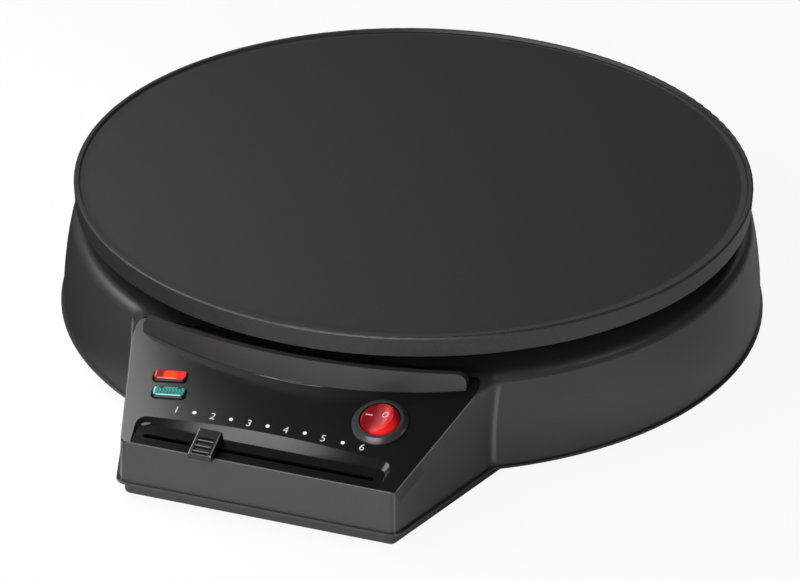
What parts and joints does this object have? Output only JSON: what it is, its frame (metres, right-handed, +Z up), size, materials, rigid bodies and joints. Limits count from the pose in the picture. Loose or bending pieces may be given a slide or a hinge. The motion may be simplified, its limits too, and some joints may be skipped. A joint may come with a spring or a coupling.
{
  "type": "electric crepe maker",
  "caption": "Round tabletop crepe maker with a flat lipped cooking plate, a wedge-shaped control box, a sliding heat control, a rocker switch and pilot lamps.",
  "frame": {"origin": "on the table, under the middle of the appliance's bounding box", "axes": "+Z up, -Y towards the control box and the user, +X to the user's right"},
  "size_m": [0.3214, 0.3631, 0.07],
  "materials": {
    "housing": "satin black moulded plastic",
    "cover": "matt black moulded plastic",
    "rubber": "soft black rubber",
    "cast_plate": "dark speckled non-stick coating on cast aluminium",
    "element_steel": "dull heat-darkened steel tube",
    "sheet_steel": "bright aluminised sheet",
    "screw_steel": "zinc-plated",
    "fibre": "pale heat-proof fibre",
    "ceramic": "cream ceramic",
    "brass": "plain",
    "nylon": "natural nylon",
    "carriage_plastic": "matt black acetal",
    "knob_gloss": "glossy black",
    "switch_gloss": "glossy black",
    "rocker_red": "translucent red",
    "red_lens": "clear red, prismatic",
    "green_lens": "clear green, prismatic",
    "lamp_glass": "clear glass"
  },
  "bodies": {
    "base": {"block_screws": "brass", "bottom_cover": "cover", "bushing_nut": "cover", "cooking_plate": "cast_plate", "cord_bushing": "rubber", "cover_screws": "screw_steel", "earth_tag": "brass", "element_terminals": "brass", "fixing_screws": "screw_steel", "fixing_washers": "fibre", "foot_front_left": "rubber", "foot_front_right": "rubber", "foot_middle_left": "rubber", "foot_middle_right": "rubber", "foot_rear_left": "rubber", "foot_rear_right": "rubber", "fuse_clip": "sheet_steel", "green_lamp": "lamp_glass", "green_lens": "green_lens", "heat_shield": "sheet_steel", "heating_element": "element_steel", "holder_screws": "screw_steel", "lamp_holder": "cover", "plate_screws": "screw_steel", "red_lamp": "lamp_glass", "red_lens": "red_lens", "switch_body": "switch_gloss", "switch_terminals": "brass", "terminal_block": "ceramic", "thermal_fuse": "sheet_steel", "thermostat_body": "ceramic", "thermostat_bracket": "sheet_steel", "thermostat_bushing": "brass", "thermostat_screws": "screw_steel", "thermostat_sensor": "sheet_steel", "thermostat_terminals": "brass", "upper_housing": "housing"},
    "slider": {"slider_knob": "knob_gloss", "slider_carriage": "carriage_plastic"},
    "spindle": {"thermostat_spindle": "screw_steel", "drive_pinion": "nylon", "spindle_clip": "screw_steel"},
    "rocker": {"rocker_button": "rocker_red"}
  },
  "joints": [
    {"name": "slider_travel", "type": "slide", "parent": "base", "child": "slider", "axis": [1, 0, 0], "range_m": [-0.02017, 0.06473]},
    {"name": "thermostat_turn", "type": "hinge", "parent": "base", "child": "spindle", "pos_m": [0, -0.07332, 0.015], "axis": [0, 0, 1], "range_deg": [-65, 207]},
    {"name": "rocker_press", "type": "hinge", "parent": "base", "child": "rocker", "pos_m": [0.0429, -0.1461, 0.03928], "axis": [0, 0.9391, 0.3437], "range_deg": [0, 24]}
  ],
  "couplings": [
    {"joint": "thermostat_turn", "follows": "slider_travel", "rad_per_m": 55.556}
  ]
}
